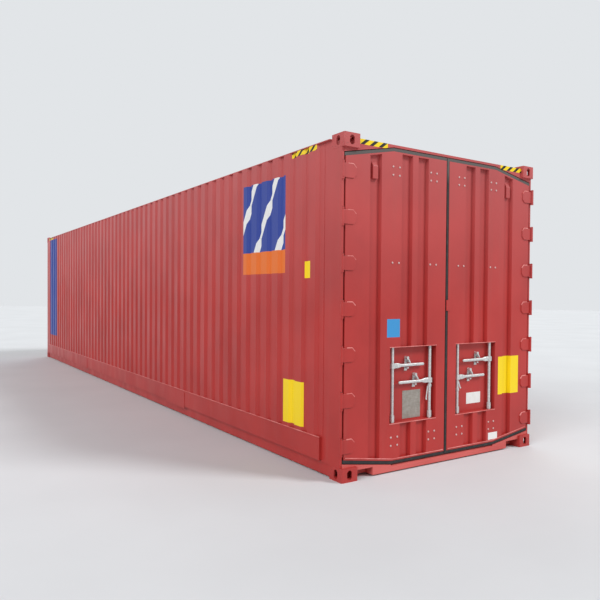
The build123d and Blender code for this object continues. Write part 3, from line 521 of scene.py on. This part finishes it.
# %% Door bolts
BOLT_RADIUS, BOLT_HEIGHT = 0.009, 0.006
BOLT_SPREAD, BOLT_RISE = 0.037, 0.036
BEARING_LEVELS = {0.275: (-1, 1), 1.842: (0,), 2.641: (-1, 1)}  # height: rows of bolts about it
HEAD_BARE, HEAD_MISTED = linear(208, 200, 198), linear(196, 128, 122)
HEAD_METAL, HEAD_ROUGHNESS = 0.2, 0.5
MIST_SCALE, MIST_AMOUNTS = 150, (0.25, 0.7)


def dusted_zinc():
    """Zinc heads with a mist of the red paint on them."""
    material, tree, shader, coordinates = new_finish("dusted_zinc")
    mist = ramp(tree, noise(tree, coordinates, MIST_SCALE), *NOISE_UPPER, *MIST_AMOUNTS)
    set_colour(tree, shader, mist, HEAD_BARE, HEAD_MISTED)
    shader.inputs["Metallic"].default_value = HEAD_METAL
    shader.inputs["Roughness"].default_value = HEAD_ROUGHNESS
    return material


bolt_finish = dusted_zinc()
for side in SIDES:
    form = bmesh.new()
    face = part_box("door_skin_" + side)[1][0]
    for place in ("inner", "outer"):
        low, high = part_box(f"lock_bar_{side}_{place}")
        middle = (low[1] + high[1]) / 2
        for level, rows in BEARING_LEVELS.items():
            for row in rows:
                for spread in (-BOLT_SPREAD, BOLT_SPREAD):
                    spot = (face, middle + spread, level + row * BOLT_RISE)
                    add_button(form, spot, (1, 0, 0), BOLT_RADIUS, BOLT_HEIGHT)
    finish_piece("door_bolts_" + side, form, "door_" + side, bolt_finish)

# %% [markdown]
# ## Hinge pin heads
# Each hinge pin is pushed down through its two lugs, so a low round head shows on the upper lug; its
# dark colour is painted shade, for the shadow in the pin hole. The lugs' pitch is worked out from their
# box, because all lugs of a post are one node.

# %% Pin heads
HINGE_COUNT, HINGE_HEIGHT = 7, 0.152
PIN_HEAD_RADIUS, PIN_HEAD_HEIGHT = 0.008, 0.003
LUG_NOSE = 0.012
PIN_SHADE_SOFT, PIN_SHADE_DEEP = linear(96, 34, 32), linear(52, 26, 24)
PIN_SHADE_SCALE, PIN_HEAD_ROUGHNESS = 90, 0.32


def pin_head_shade():
    """Dark painted shade on the pin heads, deeper in some patches."""
    material, tree, shader, coordinates = new_finish("pin_head_shade")
    # painted shade: two dark reds mixed by noise
    shade_depth = ramp(tree, noise(tree, coordinates, PIN_SHADE_SCALE), *NOISE_UPPER)
    set_colour(tree, shader, shade_depth, PIN_SHADE_SOFT, PIN_SHADE_DEEP)
    shader.inputs["Roughness"].default_value = PIN_HEAD_ROUGHNESS
    return material


shaded_pin_heads = pin_head_shade()
for side, sign in SIDES.items():
    form = bmesh.new()
    low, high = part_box("hinge_lugs_" + side)
    pitch = (high[2] - low[2] - HINGE_HEIGHT) / (HINGE_COUNT - 1)
    pin_y = (high[1] - LUG_NOSE) if sign > 0 else (low[1] + LUG_NOSE)
    for step in range(HINGE_COUNT):
        top = high[2] - step * pitch
        add_button(form, (high[0] - LUG_NOSE, pin_y, top), (0, 0, 1), PIN_HEAD_RADIUS, PIN_HEAD_HEIGHT)
    finish_piece("hinge_pin_heads_" + side, form, "box", shaded_pin_heads)

# %% [markdown]
# ## Weld beads
# The wall sheets are lap-welded to the posts, and the posts to the castings. A weld is a half-round bead
# with ripples, so each one here is a thin many-ringed rod whose rings are made a little larger or
# smaller. A seeded random draw gives the same ripples on every run.

# %% Beads
BEAD_RADIUS, BEAD_SIDES, BEAD_SINK = 0.0045, 6, 0.002
RIPPLE_PITCH, RIPPLE_SIZES = 0.014, (0.72, 1.12)
CASTING_REACH = 0.11
ALONG = 0.99
draw = random.Random(7)


def add_bead(form, start, end, radius=BEAD_RADIUS):
    """A rippled rod from one place to another."""
    start, end = Vector(start), Vector(end)
    length, way = (end - start).length, (end - start).normalized()
    made = bmesh.ops.create_cone(form, cap_ends=True, segments=BEAD_SIDES, radius1=radius, radius2=radius,
                                 depth=length, matrix=facing((start + end) / 2, way))
    along = [edge for edge in edges_of(made)
             if abs((edge.verts[0].co - edge.verts[1].co).normalized().dot(way)) > ALONG]
    rings = max(2, int(length / RIPPLE_PITCH))
    cut = bmesh.ops.subdivide_edges(form, edges=along, cuts=rings)
    sizes = {}
    for vert in (item for item in cut["geom_inner"] if isinstance(item, bmesh.types.BMVert)):
        reach = (vert.co - start).dot(way)
        ring = round(reach / length * (rings + 1))
        centre = start + way * reach
        size = sizes.setdefault(ring, draw.uniform(*RIPPLE_SIZES))
        vert.co = centre + (vert.co - centre) * size


casting_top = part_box("door_casting_bottom_left")[1][2]
casting_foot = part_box("door_casting_top_left")[0][2]
for side, sign in SIDES.items():
    form = bmesh.new()
    wall_low, wall_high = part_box("side_wall_" + side)
    for end in ("front", "door"):
        toward = 1 if end == "door" else -1
        post_low, post_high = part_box(f"{end}_post_{side}")
        face = post_high[1] if sign > 0 else post_low[1]
        seam = wall_high[0] if toward > 0 else wall_low[0]
        add_bead(form, (seam, face, wall_low[2]), (seam, face, casting_foot))
        front = post_high[0] if toward > 0 else post_low[0]
        back, sunk = seam + toward * CASTING_REACH, face - sign * BEAD_SINK
        for level in (casting_top, casting_foot):
            add_bead(form, (back, sunk, level), (front, sunk, level))
    finish_piece("weld_beads_" + side, form, "box", plain_paint)

# %% [markdown]
# ## Hinge welds and pale edges
# Each hinge blade is welded to its leaf all round. The upper edges of the blades, the rims of the lock
# pockets, the lip of the bottom rail and the lower edge of each leaf face the sky and catch the light, so
# they show as pale lines. All of these are beads again, and the pale ones have a coat of their own whose
# pale colour is a painted highlight.

# %% Edge paint
EDGE_HIGHLIGHT, EDGE_HIGHLIGHT_DIM = linear(220, 138, 134), linear(198, 94, 90)
HIGHLIGHT_SCALE, EDGE_ROUGHNESS = 9, 0.5


def painted_edge_highlight():
    """A painted highlight on an edge, paler in some patches than others."""
    material, tree, shader, coordinates = new_finish("painted_edge_highlight")
    # painted highlight: two colours paler than the paint, mixed by noise, for light caught on the edge
    dimmer = ramp(tree, noise(tree, coordinates, HIGHLIGHT_SCALE), *NOISE_UPPER)
    set_colour(tree, shader, dimmer, EDGE_HIGHLIGHT, EDGE_HIGHLIGHT_DIM)
    shader.inputs["Roughness"].default_value = EDGE_ROUGHNESS
    return material


def add_beads(form, face, points, radius=BEAD_RADIUS):
    """Beads from place to place on an upright face across the box."""
    for start, end in zip(points, points[1:]):
        add_bead(form, (face, *start), (face, *end), radius)


highlight_paint = painted_edge_highlight()
print("edge paint:", len(highlight_paint.node_tree.nodes), "nodes")

# %% Hinge welds and leaf edges
BLADE_HALF, BLADE_CORNER, BLADE_THICK, WELD_START = 0.059, 0.030, 0.009, 0.008
LEAF_CLIP_RUN, LEAF_CLIP_RISE = 0.519, 0.080
EDGE_RADIUS, RIM_RADIUS = 0.006, 0.004
UPPER_POINTS = 3  # the first points of a blade's outline are its upper edge
for side, sign in SIDES.items():
    welds, edges = bmesh.new(), bmesh.new()
    low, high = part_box("hinge_blades_" + side)
    skin_low, skin_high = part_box("door_skin_" + side)
    inner, outer = (skin_low[1], skin_high[1]) if sign > 0 else (skin_high[1], skin_low[1])
    free = low[1] if sign > 0 else high[1]
    start, clip, short = outer - sign * WELD_START, free + sign * BLADE_CORNER, BLADE_HALF - BLADE_CORNER
    outline = [(start, BLADE_HALF), (clip, BLADE_HALF), (free, short), (free, -short), (clip, -BLADE_HALF),
               (start, -BLADE_HALF)]
    pitch = (high[2] - low[2] - 2 * BLADE_HALF) / (HINGE_COUNT - 1)
    face = skin_high[0]
    for step in range(HINGE_COUNT):
        level = low[2] + BLADE_HALF + step * pitch
        points = [(y, level + z) for y, z in outline]
        # the upper edges take the painted-highlight coat; the rest of each outline is plain paint
        add_beads(edges, face + BLADE_THICK / 2, points[:UPPER_POINTS], EDGE_RADIUS)
        add_beads(welds, face, points[UPPER_POINTS - 1:])
    bend = outer - sign * LEAF_CLIP_RUN
    foot = [(inner, skin_low[2]), (bend, skin_low[2]), (outer, skin_low[2] + LEAF_CLIP_RISE)]
    add_beads(edges, face, foot)
    pan_low, pan_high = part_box("lock_pocket_" + side)
    for rim in (pan_low[2], pan_high[2]):
        add_beads(edges, face, [(pan_low[1], rim), (pan_high[1], rim)], RIM_RADIUS)
    finish_piece("hinge_welds_" + side, welds, "door_" + side, plain_paint)
    finish_piece("leaf_edges_" + side, edges, "door_" + side, highlight_paint)

# %% Rail edges
for side, sign in SIDES.items():
    form = bmesh.new()
    low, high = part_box("bottom_rail_" + side)
    lip = (high[1] if sign > 0 else low[1]) - sign * EDGE_RADIUS
    ends = (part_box("front_post_" + side)[1][0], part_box("door_post_" + side)[0][0])
    # a bead on the rail's top lip in the painted-highlight coat
    add_bead(form, (ends[0], lip, high[2]), (ends[1], lip, high[2]), EDGE_RADIUS)
    finish_piece("rail_edge_" + side, form, "box", highlight_paint)

# %% [markdown]
# ## Plates in the lock pockets
# A bare grey plate is riveted to the back of the left pocket, and a small pale one to the right. Each is
# a bevelled sheet with a rivet in every corner. The grey one gets a brushed finish of its own.

# %% Plate finishes
ALLOY_DARK, ALLOY_LIGHT, ALLOY_DULL = linear(150, 144, 136), linear(172, 166, 158), linear(132, 124, 114)
ALLOY_METAL, ALLOY_ROUGHNESS = 0.35, 0.5
BRUSH_SCALE, BRUSH_STRETCH, BRUSH_STRENGTH, BRUSH_DEPTH = 220, (1, 0.05, 1), 0.08, 0.0005
MOTTLE_SCALE, MOTTLE_AMOUNT = 30, 0.6
ENAMEL_YELLOWED, ENAMEL_ROUGHNESS = linear(214, 208, 196), 0.35
STAIN_SCALE, STAIN_RANGE, STAIN_AMOUNT = 20, (0.4, 0.8), 0.5


def brushed_plate():
    """Dull brushed alloy."""
    material, tree, shader, coordinates = new_finish("brushed_plate")
    lines = ramp(tree, noise(tree, coordinates, BRUSH_SCALE, BRUSH_STRETCH), *NOISE_MIDDLE)
    mottle = ramp(tree, noise(tree, coordinates, MOTTLE_SCALE, detail=6.0), *NOISE_UPPER, 0.0, MOTTLE_AMOUNT)
    set_colour(tree, shader, mottle, mix(tree, lines, ALLOY_DARK, ALLOY_LIGHT), ALLOY_DULL)
    shader.inputs["Metallic"].default_value = ALLOY_METAL
    shader.inputs["Roughness"].default_value = ALLOY_ROUGHNESS
    set_bump(tree, shader, lines, BRUSH_STRENGTH, BRUSH_DEPTH)
    return material


def pale_plate():
    """White enamel, a little yellowed."""
    material, tree, shader, coordinates = new_finish("pale_plate")
    stain = ramp(tree, noise(tree, coordinates, STAIN_SCALE), *STAIN_RANGE, 0.0, STAIN_AMOUNT)
    set_colour(tree, shader, stain, WHITE, ENAMEL_YELLOWED)
    shader.inputs["Roughness"].default_value = ENAMEL_ROUGHNESS
    return material


# %% Plates
PLATE_THICK = 0.002
RIVET_INSET, RIVET_RADIUS, RIVET_HEIGHT = 0.012, 0.0035, 0.002
# Each plate: its name, its span across the box, its heights and its finish.
PLATES = {
    "left": ("grey_plate", (-0.490, -0.272), (0.447, 0.700), brushed_plate()),
    "right": ("pale_plate", (0.340, 0.540), (0.504, 0.612), pale_plate()),
}
for side, (name, across, heights, material) in PLATES.items():
    form = bmesh.new()
    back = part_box("handle_catches_" + side)[0][0]
    middle = (back + PLATE_THICK / 2, sum(across) / 2, sum(heights) / 2)
    size = (PLATE_THICK, across[1] - across[0], heights[1] - heights[0])
    add_bar(form, Matrix.Translation(middle), size, PLATE_THICK)
    for y in (across[0] + RIVET_INSET, across[1] - RIVET_INSET):
        for z in (heights[0] + RIVET_INSET, heights[1] - RIVET_INSET):
            add_button(form, (back + PLATE_THICK, y, z), (1, 0, 0), RIVET_RADIUS, RIVET_HEIGHT)
    finish_piece(name, form, "door_" + side, material)

# %% [markdown]
# ## Clamps on the inner bars
# Under the handle of each inner bar sits a clamp ring with a short loose strap. The ring is a square
# profile spun once round the bar's axis, and the strap is a bevelled flat bar with a stud at its end.
# They ride on the bar, so they turn out of the pocket with the handle.

# %% Bar clamps
CLAMP_RADIUS, CLAMP_HEIGHT, CLAMP_STEPS = 0.019, 0.022, 20
STRAP_WIDTH, STRAP_THICK = 0.013, 0.004
BAR_RADIUS = 0.0135
STUD_RADIUS, STUD_HEIGHT = 0.008, 0.006
# Each clamp: the ring's height, then the strap's upper and lower end as (reach from the bar, height).
CLAMPS = {
    "left": (0.732, (0.022, 0.728), (0.041, 0.606)),
    "right": (0.664, (0.018, 0.738), (0.041, 0.676)),
}


def add_clamp(form, axis, level):
    """A ring round an upright bar."""
    half = CLAMP_HEIGHT / 2
    rim = ((BAR_RADIUS, -half), (CLAMP_RADIUS, -half), (CLAMP_RADIUS, half), (BAR_RADIUS, half))
    profile = [form.verts.new((axis[0] + reach, axis[1], level + lift)) for reach, lift in rim]
    loop = [form.edges.new((profile[step - 1], profile[step])) for step in range(len(profile))]
    bmesh.ops.spin(form, geom=profile + loop, cent=(axis[0], axis[1], level), axis=(0, 0, 1), dvec=(0, 0, 0),
                   angle=2 * math.pi, steps=CLAMP_STEPS, use_merge=True)


for side, sign in SIDES.items():
    form = bmesh.new()
    low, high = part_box(f"lock_bar_{side}_inner")
    axis = ((low[0] + high[0]) / 2, (low[1] + high[1]) / 2)
    level, start, end = CLAMPS[side]
    start, end = (Vector((axis[0], axis[1] + sign * reach, height)) for reach, height in (start, end))
    size = (STRAP_THICK, STRAP_WIDTH, (end - start).length)
    add_bar(form, facing((start + end) / 2, (end - start).normalized()), size, STRAP_THICK)
    add_button(form, end + Vector((STRAP_THICK / 2, 0, 0)), (1, 0, 0), STUD_RADIUS, STUD_HEIGHT)
    add_clamp(form, axis, level)
    finish_piece("bar_clamp_" + side, form, f"bar_{side}_inner", galvanised)

# %% [markdown]
# ## Floor screws
# The plywood is held down by rows of self-tapping screws, about as far apart as the cross members. There
# are hundreds, so each head is only a low disc of a few faces, and all of them are one mesh.

# %% Screws
SCREW_RADIUS, SCREW_TAPER, SCREW_HEIGHT, SCREW_SIDES = 0.008, 0.8, 0.001, 8
SCREW_ROWS, SCREWS_ACROSS = 38, 9
END_MARGIN, SIDE_MARGIN = 0.15, 0.12
low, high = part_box("floor")
form = bmesh.new()
for row in range(SCREW_ROWS):
    x = low[0] + END_MARGIN + row * (high[0] - low[0] - 2 * END_MARGIN) / (SCREW_ROWS - 1)
    for place in range(SCREWS_ACROSS):
        y = low[1] + SIDE_MARGIN + place * (high[1] - low[1] - 2 * SIDE_MARGIN) / (SCREWS_ACROSS - 1)
        spot = Matrix.Translation((x, y, high[2] + SCREW_HEIGHT / 2))
        bmesh.ops.create_cone(form, cap_ends=True, segments=SCREW_SIDES, radius1=SCREW_RADIUS,
                              radius2=SCREW_RADIUS * SCREW_TAPER, depth=SCREW_HEIGHT, matrix=spot)
finish_piece("floor_screws", form, "box", galvanised)

# %% [markdown]
# ## The studio
# The floor is one big pale disc. A pale world fills the shadows. The box is so long that near lamps would
# leave pools of light, so three broad sun lamps light it evenly: one high before the doors on their
# right, one on the long wall and a weak one behind. The camera and shiny things see the plain background,
# while the light that falls on the box comes from a dimmer white one.

# %% Floor and world
FLOOR_RADIUS, FLOOR_SIDES = 70.0, 96
FLOOR_DARK, FLOOR_LIGHT = linear(204, 207, 210), linear(210, 213, 216)
CLOUD_SCALE, FLOOR_ROUGHNESS = 0.6, 0.8
PALE = linear(226, 229, 232)
WORLD_LEVEL = 0.40


def studio_floor():
    """A pale matt disc under the box, which isn't part of the object."""
    form = bmesh.new()
    bmesh.ops.create_circle(form, cap_ends=True, segments=FLOOR_SIDES, radius=FLOOR_RADIUS)
    mesh = bpy.data.meshes.new("studio_floor")
    form.to_mesh(mesh)
    form.free()
    material, tree, shader, coordinates = new_finish("studio_floor")
    cloud = ramp(tree, noise(tree, coordinates, CLOUD_SCALE), *NOISE_MIDDLE)
    set_colour(tree, shader, cloud, FLOOR_DARK, FLOOR_LIGHT)
    shader.inputs["Roughness"].default_value = FLOOR_ROUGHNESS
    mesh.materials.append(material)
    floor = bpy.data.objects.new("studio_floor", mesh)
    bpy.context.scene.collection.objects.link(floor)
    floor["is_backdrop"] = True


def studio_world():
    """Soft light all round, and a plain pale background where the camera or a reflection looks."""
    world = bpy.data.worlds.new("studio")
    bpy.context.scene.world = world
    world.use_nodes = True
    tree = world.node_tree
    shown = tree.nodes["Background"]
    shown.inputs["Color"].default_value = PALE
    light = add_node(tree, "Background", Color=(1.0, 1.0, 1.0, 1.0), Strength=WORLD_LEVEL)
    rays = tree.nodes.new("ShaderNodeLightPath")
    seen = rays.outputs["Is Camera Ray"]
    for name in ("Is Glossy Ray", "Is Transmission Ray"):
        seen = add_node(tree, "Math", "MAXIMUM", _0=seen, _1=rays.outputs[name]).outputs[0]
    both = tree.nodes.new("ShaderNodeMixShader")
    tree.links.new(seen, both.inputs[0])
    tree.links.new(light.outputs[0], both.inputs[1])
    tree.links.new(shown.outputs[0], both.inputs[2])
    tree.links.new(both.outputs[0], tree.nodes["World Output"].inputs["Surface"])


studio_floor()
studio_world()
bpy.context.scene.view_settings.view_transform = "Standard"
print("floor and world ready")

# %% Lamps
# Each lamp: where it shines from, the width of its disc in degrees and its strength.
LAMPS = {
    "door_lamp": ((13.0, 11.0, 15.0), 16.0, 1.85),
    "wall_lamp": ((6.0, -19.0, 15.0), 40.0, 1.55),
    "back_lamp": ((-15.0, 13.0, 16.0), 40.0, 0.6),
}
for name, (place, spread, power) in LAMPS.items():
    lamp = bpy.data.lights.new(name, "SUN")
    lamp.angle = math.radians(spread)
    lamp.energy = power
    stand = bpy.data.objects.new(name, lamp)
    stand.location = place
    stand.rotation_euler = (-Vector(place)).to_track_quat("-Z", "Y").to_euler()
    bpy.context.scene.collection.objects.link(stand)
print(len(LAMPS), "lamps")

# %% [markdown]
# ## The camera
# The view is a person's, standing near the door end with the long wall running away. Yaw is measured
# from the +Y axis towards -X. The picture is cropped off its lens axis, which the small shift repeats.

# %% Camera
CAMERA_PLACE = (10.175, -4.224, 1.554)
CAMERA_YAW, CAMERA_PITCH, CAMERA_ROLL = 55.496, -1.045, 0.447
LENS_MM, SENSOR_MM = 37.09, 36.0
SHIFT = (-0.0383, 0.0108)
lens = bpy.data.cameras.new("camera")
lens.lens, lens.sensor_width = LENS_MM, SENSOR_MM
lens.shift_x, lens.shift_y = SHIFT
camera = bpy.data.objects.new("camera", lens)
yaw = Matrix.Rotation(math.radians(CAMERA_YAW), 4, "Z")
pitch = Matrix.Rotation(math.radians(90 + CAMERA_PITCH), 4, "X")
roll = Matrix.Rotation(math.radians(CAMERA_ROLL), 4, "Z")
camera.matrix_world = Matrix.Translation(CAMERA_PLACE) @ yaw @ pitch @ roll
bpy.context.scene.collection.objects.link(camera)
bpy.context.scene.camera = camera
print("camera at", CAMERA_PLACE)

# %% Size of the dressed model, and the end
low, high = (list(corner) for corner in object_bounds())
print("visual box", low, high)
